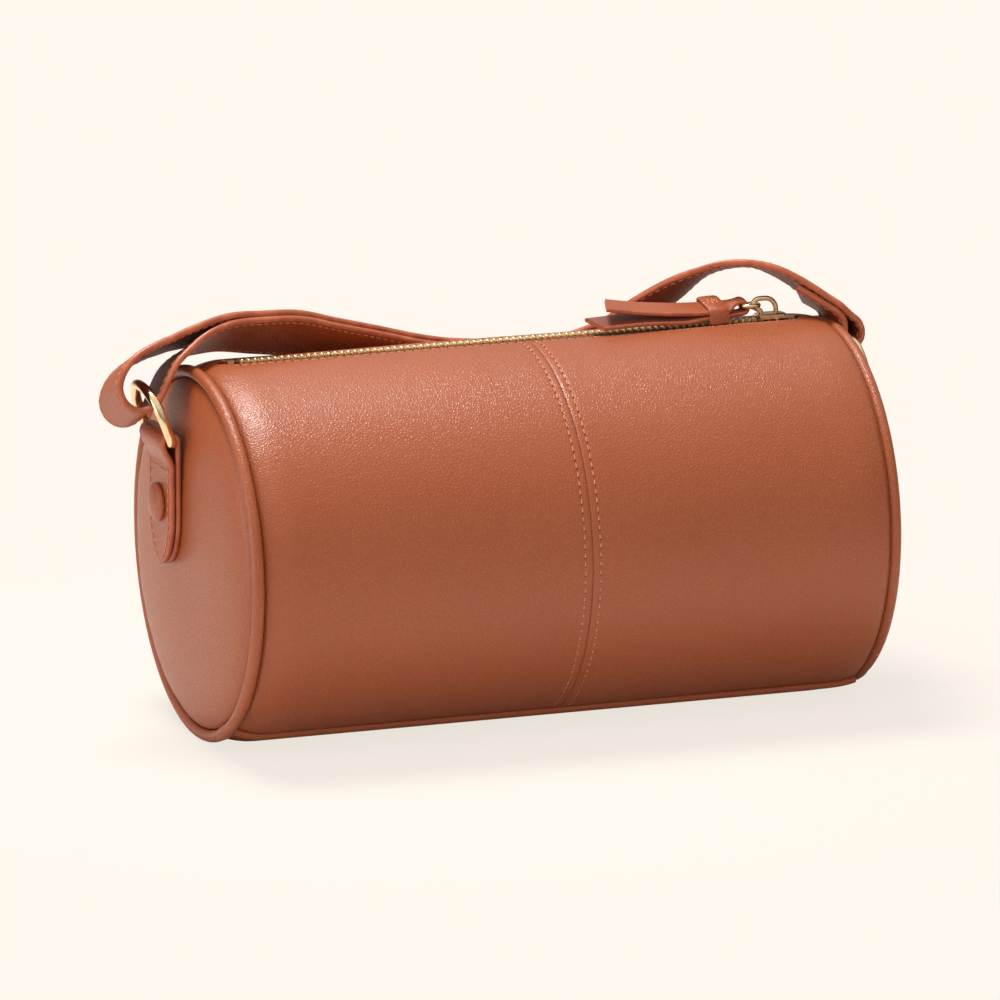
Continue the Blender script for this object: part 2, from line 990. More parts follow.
def edge_dip(gap: float, depth: float, width: float) -> float:
    """How far leather turns down at a distance from an edge."""
    return depth * math.exp(-max(gap, 0.0) / width)


def groove(gap: float, depth: float, width: float) -> float:
    """How deep a stitch line is pressed at a distance from its middle."""
    return depth * math.exp(-(gap / width) ** 2)


@dataclass
class Barrel:
    """The barrel's leather: four body panels, the base and its welts.

    Attributes:
        form: the driving sizes.
        finishes: the materials.
        repeats: what lays the stitches.
        seam_split: half the gap between the panels at the centre seam.
        stitch_offset: from the centre seam to a row beside it.
        lip_stitch: from the zip's lip to the row beside it.
        wave: height of the panels' slow waves.
        wave_fade: how far from a panel's end the waves start to fade.
        seam_dip: depth and width of the turned edge at the centre seam.
        end_dip: the same under the piping.
        lip_edge_dip: the same at the zip's lip.
        low_dip: the same beside the base's welts.
        base_side_dip: the same at the base's long sides.
        base_end_dip: the same at the base's ends.
        seam_groove: depth and width of the pressed line at the centre seam.
        lip_groove: the same along the zip.
    """

    form: BarrelForm
    finishes: Finishes
    repeats: Repeats
    seam_split: float = 0.05 * MM
    stitch_offset: float = 2.9 * MM
    lip_stitch: float = 2.2 * MM
    wave: float = 0.35 * MM
    wave_fade: float = 14 * MM
    seam_dip: tuple[float, float] = (0.35 * MM, 0.35 * MM)
    end_dip: tuple[float, float] = (1.3 * MM, 0.6 * MM)
    lip_edge_dip: tuple[float, float] = (0.7 * MM, 0.35 * MM)
    low_dip: tuple[float, float] = (0.5 * MM, 0.5 * MM)
    base_side_dip: tuple[float, float] = (0.4 * MM, 0.5 * MM)
    base_end_dip: tuple[float, float] = (1.1 * MM, 0.6 * MM)
    seam_groove: tuple[float, float] = (0.16 * MM, 0.5 * MM)
    lip_groove: tuple[float, float] = (0.12 * MM, 0.5 * MM)

    @property
    def base_gap(self) -> float:
        """The angle from a welt's middle line to the leather beside it."""
        return (self.form.welt + 0.05 * MM) / self.form.radius

    def lift(self, x: float, angle: float, seam_gap: float) -> float:
        """The leather's height over the plain form: slow waves, turned edges and pressed stitch lines.

        Args:
            x: place along the barrel.
            angle: how far round from the top, towards the back.
            seam_gap: distance from the centre seam.

        Returns:
            The height, below zero where the leather is sunk.
        """
        form = self.form
        wave = self.wave * noise.noise(Vector((x * 16, math.sin(angle) * 2.2, math.cos(angle) * 2.2 + 7)))
        fade = ease((form.panel_end - abs(x)) / self.wave_fade)
        lip_gap = abs(angle - form.zip_angle) * form.radius - form.lip_half_width(x)
        down = edge_dip(seam_gap, *self.seam_dip)
        down += edge_dip(form.panel_end - abs(x), *self.end_dip)
        down += form.lip_dip * (1 - ease(lip_gap / form.lip_roll)) * (1 - form.closed(x))
        down += edge_dip(lip_gap, *self.lip_edge_dip) * (1 - 0.4 * form.closed(x))
        pressed = groove(seam_gap - self.stitch_offset, *self.seam_groove)
        pressed += groove(lip_gap - self.lip_stitch, *self.lip_groove)
        return wave * fade - down - pressed

    def steps(self, run: float) -> list[float]:
        """Where a panel gets its rows of points.

        Args:
            run: length of the panel, in millimetres.

        Returns:
            Distances from the centre seam, in millimetres.
        """
        first, count = SEAM_STEPS[-1], 46
        middle = [first + (run - first - SHOULDER_STEPS[-1]) * (k + 1) / (count + 1) for k in range(count)]
        return [*SEAM_STEPS, *middle, *(run - step for step in reversed(SHOULDER_STEPS))]

    def panel(self, end: End, face: Face) -> bpy.types.Object:
        """Makes one of the four body panels.

        Args:
            end: the end that it reaches to.
            face: the long face that it is on.

        Returns:
            The panel.
        """
        form = self.form
        seam_x = form.seam + end.value * self.seam_split
        steps = self.steps(abs(end.value * (form.panel_end + form.tuck) - seam_x) / MM)
        low = face.value * (math.pi - form.base_angle - self.base_gap)
        around = 88
        rows: list[Vector] = []
        for step in steps:
            x = seam_x + end.value * step * MM
            top = form.zip_angle + face.value * form.lip_half_width(x) / form.radius
            angles = [top + face.value * gap * MM / form.radius for gap in LIP_STEPS]
            start = angles[-1]
            angles += [start + (low - start) * ((k + 1) / around) for k in range(around)]
            for angle in angles:
                base_end = abs(low - angle) * form.radius
                lift = self.lift(x, angle, step * MM) - edge_dip(base_end, *self.low_dip)
                rows.append(form.point(x, angle, lift))
        columns = len(LIP_STEPS) + around
        obj = new_object(f"{face.name.lower()}_panel_{end.name.lower()}_leather", rows,
                         grid_faces(len(steps), columns), [self.finishes.leather])
        self.face_out(obj)
        return cleaned(walled(obj, form.leather))

    def face_out(self, obj: bpy.types.Object) -> None:
        """Turns a sheet's faces away from the barrel's axis.

        Args:
            obj: the sheet.
        """
        middle = obj.data.polygons[len(obj.data.polygons) // 2]
        outward = Vector((0, middle.center.y, middle.center.z - self.form.axis_height))
        if middle.normal.dot(outward) < 0:
            obj.data.flip_normals()

    def base(self) -> bpy.types.Object:
        """Makes the base panel, rolled over at both long seams.

        Returns:
            The panel.
        """
        form = self.form
        wide = form.base_angle - self.base_gap
        rows: list[Vector] = []
        inner = [form.panel_end + form.tuck - step * MM for step in BASE_STEPS]
        middle = [inner[-1] - 2 * inner[-1] * (k + 1) / 41 for k in range(40)]
        stations = inner + middle + [-x for x in reversed(inner)]
        columns = 44
        for x in stations:
            for c in range(columns + 1):
                turn = -wide + 2 * wide * c / columns
                side_gap = (wide - abs(turn)) * form.radius
                down = edge_dip(side_gap, *self.base_side_dip)
                down += edge_dip(form.panel_end - abs(x), *self.base_end_dip)
                rows.append(form.point(x, math.pi + turn, -down))
        obj = new_object("base_leather", rows, grid_faces(len(stations), columns + 1),
                         [self.finishes.leather])
        self.face_out(obj)
        return cleaned(walled(obj, form.leather))

    def welt_path(self, face: Face) -> list[Vector]:
        """The middle line of one of the rolled welts beside the base.

        Args:
            face: the long face that the welt is on.

        Returns:
            The points of the line.
        """
        form = self.form
        lift = form.welt - form.leather - 0.08 * MM
        angle = face.value * (math.pi - form.base_angle)
        count = 90
        path = []
        for k in range(count + 1):
            x = -form.panel_end + 2 * form.panel_end * k / count
            rise = 0.3 * MM * ease((abs(x) - 105 * MM) / (12 * MM))
            path.append(form.point(x, angle, lift + rise))
        return path

    def stitch_lines(self) -> dict[str, list[list[Vector]]]:
        """The topstitching beside the centre seam and along both lips of the zip.

        Returns:
            The lines of each of the two.
        """
        form = self.form
        lines: dict[str, list[list[Vector]]] = {"seam": [], "lips": []}
        for face in Face:
            low = face.value * (math.pi - form.base_angle - 0.05)
            for side in (-1, 1):
                x = form.seam + side * self.stitch_offset
                top = form.zip_angle + face.value * (form.lip + 3 * MM) / form.radius
                count = 130
                lines["seam"].append([
                    form.point(x, top + (low - top) * k / count,
                               self.lift(x, top + (low - top) * k / count, self.stitch_offset))
                    for k in range(count + 1)
                ])
            edge = []
            for k in range(121):
                x = -106 * MM + 212 * MM * k / 120
                angle = form.zip_angle + face.value * (form.lip_half_width(x) + self.lip_stitch) / form.radius
                edge.append(form.point(x, angle, self.lift(x, angle, 1.0)))
            lines["lips"].append(edge)
        return lines

    def build(self) -> None:
        """Makes the barrel's leather and puts it on the bag."""
        for end in End:
            for face in Face:
                obj = self.panel(end, face)
                settle(obj, "bag", f"{face.name.lower()}_panel_{end.name.lower()}")
                log.info("made %s", obj.name)
        settle(self.base(), "bag", "base_panel")
        for face in Face:
            welt = tube(f"base_welt_{face.name.lower()}_leather", self.welt_path(face), self.form.welt,
                        self.finishes.leather)
            settle(welt, "bag", f"base_welt_{face.name.lower()}")
        for name, lines in self.stitch_lines().items():
            sewn = self.repeats.stitches(f"{name}_stitches", lines, self.finishes.thread)
            holes = self.repeats.stitches(f"{name}_holes", [line[1:] for line in lines], self.finishes.hole,
                                          length=0.9 * MM, thread=0.6 * MM)
            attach(sewn, "bag")
            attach(holes, "bag")
            log.info("made %s", sewn.name)


# ------------------------------------------------------------------ ends


@dataclass
class EndWall:
    """One padded round end with its piping.

    Attributes:
        form: the driving sizes.
        finishes: the materials.
        end: the end that it is.
        rim: radius of the end panel.
        board_x: from the bag's middle to the outside of the stiffener disc.
        dome: how far the end's middle stands out past the piping's middle.
        join_angle: where the piping's two ends meet, round from the top.
        right_sunk: how much lower the right piping is seated.
    """

    form: BarrelForm
    finishes: Finishes
    end: End
    rim: float = 62.7 * MM
    board_x: float = 119.2 * MM
    dome: float = 8 * MM
    join_angle: float = math.radians(207)
    right_sunk: float = 0.9 * MM

    @property
    def sunk(self) -> float:
        """How much lower this end's piping is seated."""
        return self.right_sunk if self.end is End.RIGHT else 0.0

    def dome_points(self) -> list[tuple[float, float]]:
        """The end's outline from the rim to the middle.

        Returns:
            Points as distance along the barrel and radius.
        """
        edge = self.board_x + 0.6 * MM
        crown = self.form.half_length + self.dome
        controls = [(edge, self.rim), (edge + 0.7 * (crown - edge), self.rim - 1.5 * MM),
                    (crown, 0.6 * self.rim), (crown, 0.0)]
        count = 44
        outline = []
        for k in range(count + 1):
            t = (k / count) ** 1.5
            weights = ((1 - t) ** 3, 3 * t * (1 - t) ** 2, 3 * t * t * (1 - t), t ** 3)
            outline.append(tuple(sum(w * c[i] for w, c in zip(weights, controls)) for i in (0, 1)))
        return outline

    def panel(self) -> bpy.types.Object:
        """Makes the end's leather, puckered a little where it is sewn into the piping.

        Returns:
            The end panel.
        """
        around = 128
        outline = self.dome_points()
        rows: list[Vector] = []
        for x, radius in outline[:-1]:
            for turn in full_turn(around):
                near = math.exp(-((self.rim - radius) / (7 * MM)) ** 2)
                ripple = noise.noise(Vector((math.cos(turn) * 7, math.sin(turn) * 7, self.end.value * 3)))
                slow = noise.noise(Vector((math.cos(turn) * radius * 28, math.sin(turn) * radius * 28, 5.0)))
                push = 0.45 * MM * near * ripple * ease((self.rim - radius) / (2 * MM)) + 0.4 * MM * slow
                rows.append(Vector((self.end.value * (x + push), radius * math.sin(turn),
                                    self.form.axis_height + radius * math.cos(turn))))
        rows.append(Vector((self.end.value * outline[-1][0], 0, self.form.axis_height)))
        faces = grid_faces(len(outline) - 1, around, wrap_columns=True)
        last = (len(outline) - 2) * around
        faces += [(last + k, last + (k + 1) % around, len(rows) - 1) for k in range(around)]
        obj = new_object(f"end_panel_{self.end.name.lower()}_leather", rows, faces, [self.finishes.leather])
        if obj.data.polygons[0].normal.x * self.end.value < 0:
            obj.data.flip_normals()
        return cleaned(walled(obj, self.form.leather))

    def piping(self) -> bpy.types.Object:
        """Makes the covered piping, with the small overlap where its two ends meet near the ground.

        Returns:
            The piping.
        """
        around, sides = 240, 24
        centre_radius = self.form.radius - self.form.shoulder_drop - self.sunk
        rows: list[Vector] = []
        for turn in full_turn(around):
            gap = abs((turn - self.join_angle + math.pi) % (2 * math.pi) - math.pi) * centre_radius
            overlap = 0.3 * MM * (1 - ease((gap - 3.2 * MM) / (0.5 * MM)))
            creases = 0.05 * MM * noise.noise(Vector((math.cos(turn) * 60, math.sin(turn) * 60, 1.0)))
            wire = self.form.piping + overlap + creases - 0.02 * MM
            out = Vector((0, math.sin(turn), math.cos(turn)))
            for bend in full_turn(sides):
                at = Vector((self.end.value * self.form.half_length, 0, self.form.axis_height))
                at += out * (centre_radius + wire * math.cos(bend)) + Vector((wire * math.sin(bend), 0, 0))
                at.z = max(at.z, 0.0)
                rows.append(at)
        faces = grid_faces(around, sides, wrap_rows=True, wrap_columns=True)
        return cleaned(new_object(f"end_piping_{self.end.name.lower()}_leather", rows, faces,
                                  [self.finishes.leather]))

    def build(self) -> None:
        """Makes the end and puts it on the bag."""
        name = self.end.name.lower()
        panel = self.panel()
        settle(panel, "bag", f"end_panel_{name}")
        settle(self.piping(), "bag", f"end_piping_{name}")
        log.info("made the %s end", name)


# ------------------------------------------------------------------ zip


@dataclass
class Zip:
    """The zip's two tapes and its teeth; the stops keep their built shape.

    Attributes:
        form: the driving sizes.
        finishes: the materials.
        repeats: what lays the teeth.
        half_length: half the length of the tapes.
        pitch: from one tooth to the next in a row.
        tooth: width of a tooth along the zip.
        thickness: height of a tooth.
        reach: how far its head passes the zip's middle line.
        root: from the middle line to the end of its legs.
        stop: length of a stop.
        slider_post: place of the slider's post along the barrel.
        parted: from the middle line to the heads of the parted teeth.
    """

    form: BarrelForm
    finishes: Finishes
    repeats: Repeats
    half_length: float = 107.5 * MM
    pitch: float = 2.5 * MM
    tooth: float = 1.15 * MM
    thickness: float = 2.6 * MM
    reach: float = 0.7 * MM
    root: float = 2.95 * MM
    stop: float = 2.5 * MM
    slider_post: float = 102.5 * MM
    parted: float = 1.5 * MM

    def tooth_shape(self, face: Face) -> bpy.types.Object:
        """Makes one tooth: a rounded leg that clasps the tape, with a domed head.

        Args:
            face: the side of the zip that it is on.

        Returns:
            The tooth, about the zip's middle line.
        """
        stations = [(-self.reach, 0.62, 0.7), (-self.reach + 0.35 * MM, 0.95, 0.98), (0.9 * MM, 1.0, 1.0),
                    (1.5 * MM, 0.8, 0.9), (2.2 * MM, 0.85, 0.95), (self.root, 0.7, 0.8)]
        points: list[Vector] = []
        sides = 10
        for across, wide, high in stations:
            for turn in full_turn(sides, 0.5):
                x = blunted(math.cos(turn), 0.6) * self.tooth / 2 * wide
                h = blunted(math.sin(turn), 0.6) * self.thickness / 2 * high
                at = self.form.zip_point(x, face.value * across, h)
                points.append(at - Vector((0, 0, self.form.axis_height)))
        faces = grid_faces(len(stations), sides, wrap_columns=True)
        faces += [tuple(range(sides)), tuple(range((len(stations) - 1) * sides, len(stations) * sides))]
        return cleaned(new_object("tooth", points, faces, [self.finishes.brass]), 70)

    def teeth(self, face: Face) -> bpy.types.Object:
        """Makes a row of teeth, parted past the slider.

        Args:
            face: the side of the zip that it is on.

        Returns:
            The row as one mesh.
        """
        start = -self.half_length + self.stop + self.pitch
        shift = 0 if face is Face.FRONT else self.pitch / 2
        count = int((2 * self.half_length - 2 * self.stop - 2 * self.pitch) / self.pitch)
        points = []
        for n in range(count):
            x = start + shift + n * self.pitch
            across = face.value * (self.parted + self.reach) if x > self.slider_post - self.pitch else 0.0
            points.append(self.form.zip_point(x, across, self.form.zip_reach))
        shape = self.tooth_shape(face)
        row = self.repeats.placed(f"zip_teeth_{face.name.lower()}_brass", shape, points, self.finishes.brass)
        bpy.data.objects.remove(shape)
        return row

    def tape(self, face: Face) -> bpy.types.Object:
        """Makes one woven tape, bent down under the lip of the leather.

        Args:
            face: the side of the zip that it is on.

        Returns:
            The tape.
        """
        profile = [(2.8, 66.9), (3.4, 66.85), (4.2, 66.3), (5.2, 65.4), (6.5, 64.95), (9.5, 64.75),
                   (13.0, 64.4)]
        stations = 60
        rows = [
            self.form.zip_point(-self.half_length + 2 * self.half_length * k / stations,
                                face.value * a * MM, h * MM)
            for k in range(stations + 1)
            for a, h in profile
        ]
        obj = new_object(f"zip_tape_{face.name.lower()}_woven", rows, grid_faces(stations + 1, len(profile)),
                         [self.finishes.tape])
        if obj.data.polygons[0].normal.z < 0:
            obj.data.flip_normals()
        return cleaned(walled(obj, 0.5 * MM))

    def build(self) -> None:
        """Makes the zip and puts it on the bag."""
        for face in Face:
            name = face.name.lower()
            teeth, tape = self.teeth(face), self.tape(face)
            settle(teeth, "bag", f"zip_teeth_{name}")
            settle(tape, "bag", f"zip_tape_{name}")
        log.info("made the zip")


# ------------------------------------------------------------------ strips of leather


@dataclass(frozen=True)
class Station:
    """A cross-section of a strip.

    Attributes:
        at: its middle.
        across: the direction of its width.
        width: its width.
        skew: how far along the strip its outer edge is slanted.
    """

    at: Vector
    across: Vector
    width: float
    skew: float = 0.0


@dataclass
class Strip:
    """A flat strip of leather with rounded painted edges and pressed stitch lines."""

    name: str
    stations: list[Station]
    thickness: float
    inside: bpy.types.Material
    outside: bpy.types.Material
    edge: bpy.types.Material
    stitch_inset: float = 2.2 * MM
    groove: float = 0.14 * MM

    def profile(self, width: float) -> list[tuple[float, float, int]]:
        """The outline of a cross-section.

        Args:
            width: the strip's width there.

        Returns:
            Points as across, up, and the number of the material that starts there.
        """
        half, up = width / 2, self.thickness / 2
        corner = min(up * 0.85, half * 0.8)
        groove = self.groove * ease((half - 2 * self.stitch_inset) / (2 * MM))
        steps = (self.stitch_inset + step * MM for step in (-0.55, 0.0, 0.55, 1.6))
        offsets = [corner] + [min(max(step, corner), half * 0.95) for step in steps]
        across = [-half + offset for offset in offsets] + [0.0]
        across += [half - offset for offset in reversed(offsets)]
        outline: list[tuple[float, float, int]] = []
        for sign, material in ((1, 0), (-1, 1)):
            for u in across:
                press = groove * math.exp(-((half - abs(u) - self.stitch_inset) / (0.4 * MM)) ** 2)
                outline.append((sign * u, sign * (up - press), material if u < across[-1] else 2))
            for k in range(1, 6):
                turn = math.pi / 2 * (1 - 2 * k / 6)
                side = half - corner + corner * math.cos(turn)
                outline.append((sign * side, sign * up * math.sin(turn), 2))
        return outline

    def along(self, i: int) -> Vector:
        """The strip's direction at a cross-section."""
        before, after = self.stations[max(i - 1, 0)], self.stations[min(i + 1, len(self.stations) - 1)]
        return (after.at - before.at).normalized()

    def frame(self, i: int) -> tuple[Vector, Vector, Vector]:
        """The strip's direction, width direction and upward direction at a cross-section."""
        along, across = self.along(i), self.stations[i].across
        return along, across, across.cross(along).normalized()

    def build(self) -> bpy.types.Object:
        """Makes the strip as one closed mesh.

        Returns:
            The strip.
        """
        points: list[Vector] = []
        for i, station in enumerate(self.stations):
            along, across, up = self.frame(i)
            for u, v, _ in self.profile(station.width):
                slant = along * (station.skew * 2 * u / station.width)
                points.append(station.at + across * u + up * v + slant)
        count = len(self.stations)
        kinds = [kind for _, _, kind in self.profile(self.stations[0].width)]
        faces = capped_faces(count, len(kinds))
        indices = kinds * (count - 1) + [2, 2]
        return cleaned(new_object(self.name, points, faces, [self.inside, self.outside, self.edge], indices))

    def stitch_lines(self) -> list[list[Vector]]:
        """The stitch lines on both faces along both edges.

        Returns:
            The points of each line.
        """
        lines = []
        for side in (-1, 1):
            for up_side in (-1, 1):
                line = []
                for i, station in enumerate(self.stations):
                    along, across, up = self.frame(i)
                    half = station.width / 2
                    slant = along * (station.skew * side)
                    line.append(station.at + across * side * (half - self.stitch_inset)
                                + up * up_side * (self.thickness / 2 - self.groove + 0.05 * MM) + slant)
                lines.append(line)
        return lines


class SmoothLine:
    """A smooth line through hand-set points."""

    def __init__(self, points: list[tuple[float, ...]]) -> None:
        """Keeps the points: each is x, y and z, and any further numbers that change along the line."""
        self.points = points

    def slope(self, i: int) -> list[float]:
        """How each number changes per metre.

        Args:
            i: the number of the point.

        Returns:
            One slope for each of its numbers.
        """
        near = self.points[max(i - 1, 0):i + 2]
        run = sum(math.dist(a[:3], b[:3]) for a, b in zip(near, near[1:]))
        return [(b - a) / run for a, b in zip(near[0], near[-1])]

    def between(self, first: int, last: int, step: float) -> list[tuple[float, ...]]:
        """Points along the line.

        Args:
            first: the number of the given point that they start from.
            last: the number of the one that they end at.
            step: about how far apart they are.

        Returns:
            The points.
        """
        line = []
        for i in range(first, last):
            start, end = self.points[i], self.points[i + 1]
            gap = math.dist(start[:3], end[:3])
            count = math.ceil(gap / step)
            for n in range(count):
                t = n / count
                line.append(tuple(
                    (1 + 2 * t) * (1 - t) ** 2 * p + t * t * (3 - 2 * t) * q
                    + gap * t * (1 - t) * ((1 - t) * m - t * k)
                    for p, q, m, k in zip(start, end, self.slope(i), self.slope(i + 1))
                ))
        return line + [self.points[last]]


# ------------------------------------------------------------------ strap


@dataclass
class Strap:
    """The strap: one strip, folded back on itself through a ring at each end."""

    form: BarrelForm
    finishes: Finishes
    repeats: Repeats
    width: float = 24.5 * MM
    thickness: float = 2.4 * MM
    layer_step: float = 2.55 * MM
    ring_height: float = 21 * MM
    step: float = 1.6 * MM
    tail_skew: float = -6.5 * MM

    def over_barrel(self, x: float, angle: float, lift: float, tilt: float) -> tuple[float, ...]:
        """A point over the barrel.

        Args:
            x: millimetres along the barrel.
            angle: degrees round from the top, towards the back.
            lift: millimetres above the leather.
            tilt: degrees that the strip's width leans.

        Returns:
            The point and the tilt, in metres and radians.
        """
        reach = self.form.radius + lift * MM
        turn = math.radians(angle)
        high = self.form.axis_height + reach * math.cos(turn)
        return x * MM, reach * math.sin(turn), high, math.radians(tilt)

    def past_left_ring(self, out: float, across: float, up: float, tilt: float) -> tuple[float, ...]:
        """A point given from the left ring's pivot, in millimetres and degrees."""
        form = self.form
        return (-form.ring_bar_x - out * MM, form.ring_y + across * MM, form.pivot_height + up * MM,
                math.radians(tilt))

    def past_right_bar(self, out: float, across: float, up: float, tilt: float) -> tuple[float, ...]:
        """A point given from the middle of the right ring's top bar, in millimetres and degrees."""
        form = self.form
        x = form.ring_bar_x + self.ring_height * math.sin(form.right_lean)
        z = form.pivot_height + self.ring_height * math.cos(form.right_lean)
        return x + out * MM, form.ring_y + across * MM, z + up * MM, math.radians(tilt)

    def raised(self, point: tuple[float, ...]) -> tuple[float, ...]:
        """The same point on the second layer."""
        x, y, z, tilt = point
        return x, y + self.layer_step * math.sin(tilt), z + self.layer_step * math.cos(tilt), tilt

    def groups(self) -> dict[str, list[tuple[float, ...]]]:
        """The strap's points in order along it, by the piece that each belongs to."""
        over, left, right = self.over_barrel, self.past_left_ring, self.past_right_bar
        lower = [over(-10, 46.5, 2.5, 51.5), over(-22, 42.8, 2.5, 50.5), over(-39, 36.6, 3.3, 50),
                 over(-57, 29.6, 4.7, 48)]
        neck = [over(-74, 22.6, 6.9, 45.5), over(-91, 17.2, 7.6, 41), over(-103, 14.4, 8.1, 36),
                over(-111.5, 12.7, 6.8, 31), over(-117, 11.8, 5.1, 26), over(-123, 10.2, 1.9, 22)]
        return {
            "strap_tail_left": lower,
            "strap_neck_left_inner": neck,
            "strap_loop_left": [
                left(-4.0, 3.6, 23.1, 22.5), left(3.2, 0.2, 11.6, 25), left(6.0, 0.1, 9.0, 25),
                left(9.4, 0.1, 7.8, 25), left(13.2, 0.1, 8.6, 25), left(16.6, 0.1, 11.8, 25),
                left(18.0, 0.4, 16.8, 25), left(15.9, 1.2, 22.4, 25), left(10.8, 2.7, 26.9, 25),
                left(1.2, 5.7, 30.3, 25),
            ],
            "strap_neck_left_outer": [
                over(-127, 10.8, 6.8, 26), over(-121.6, 12.0, 8.2, 28), over(-105.6, 14.3, 10.7, 35),
                self.raised(neck[1]),
            ],
            "strap_span": [self.raised(neck[0])] + [self.raised(p) for p in reversed(lower)] + [
                over(3, 49.0, 5.2, 51.5), over(16, 51.5, 4.4, 52), over(30, 48.5, 3.4, 50),
                over(45.5, 40.5, 2.9, 49), over(53.6, 32.0, 4.9, 49), over(60.4, 25.6, 7.4, 48),
                over(67.5, 20.6, 10.5, 44), over(75, 17.0, 13.9, 35), over(83, 14.0, 17.9, 22),
                over(91.5, 11.6, 18.9, 14), over(99.5, 9.6, 17.7, 9),
            ],
            "strap_neck_right_outer": [
                over(106.5, 8.0, 14.2, 8), right(-13.5, 3.8, 14.8, 8), right(-8.4, 2.4, 11.3, 7),
            ],
            "strap_loop_right": [
                right(-4.3, 1.1, 8.6, 6), right(-0.8, 0.3, 5.3, 5), right(2.2, 0.0, 2.6, 5),
                right(3.5, 0.0, -0.7, 5), right(3.2, 0.0, -3.7, 5), right(1.6, 0.0, -5.7, 5),
                right(-0.5, 0.0, -6.0, 5), right(-2.1, 0.0, -4.5, 5), right(-3.0, 0.0, -2.1, 5),
                right(-3.1, 0.0, 0.8, 5),
            ],
            "strap_neck_right_tail": [
                right(-3.3, 0.2, 3.3, 5), right(-4.9, 0.8, 5.7, 6), right(-8.0, 1.8, 7.9, 7),
                right(-11.1, 2.8, 9.9, 8), right(-14.4, 3.8, 12.0, 8),
            ],
        }

    def carry(self, obj: bpy.types.Object, label: str) -> None:
        """Makes a piece of the strap follow what holds it.

        Args:
            obj: the piece, or its stitches.
            label: the name of the piece.
        """
        blends = {
            "loop_left": ("left_ring", -129, -139), "loop_right": ("right_ring", 122, 128),
            "neck_left": ("strap", -128, -78), "neck_right": ("strap", 124, 109),
        }
        for part, (body, start, end) in blends.items():
            if part in label:
                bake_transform(obj)
                return
        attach(obj, "strap")

    def build(self) -> None:
        """Makes every piece of the strap and its stitches."""
        groups = self.groups()
        line = SmoothLine([p for group in groups.values() for p in group])
        first = 0
        for label, group in groups.items():
            last = min(first + len(group), len(line.points) - 1)
            points = line.between(first, last, self.step)
            cut = self.tail_skew if label == "strap_neck_right_tail" else 0.0
            stations = [
                Station(Vector(p[:3]), Vector((0, math.cos(p[3]), -math.sin(p[3]))), self.width,
                        cut * ease(k / (len(points) - 1)))
                for k, p in enumerate(points)
            ]
            strip = Strip(f"{label}_leather", stations, self.thickness, self.finishes.back_leather,
                          self.finishes.strap_leather, self.finishes.edge)
            obj = strip.build()
            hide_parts(label)
            sewn = self.repeats.stitches(f"{label}_stitches", strip.stitch_lines(), self.finishes.thread,
                                         length=2.3 * MM, thread=0.55 * MM)
            self.carry(obj, label)
            self.carry(sewn, label)
            first = last
        log.info("made the strap")


# ------------------------------------------------------------------ ring tabs and rings


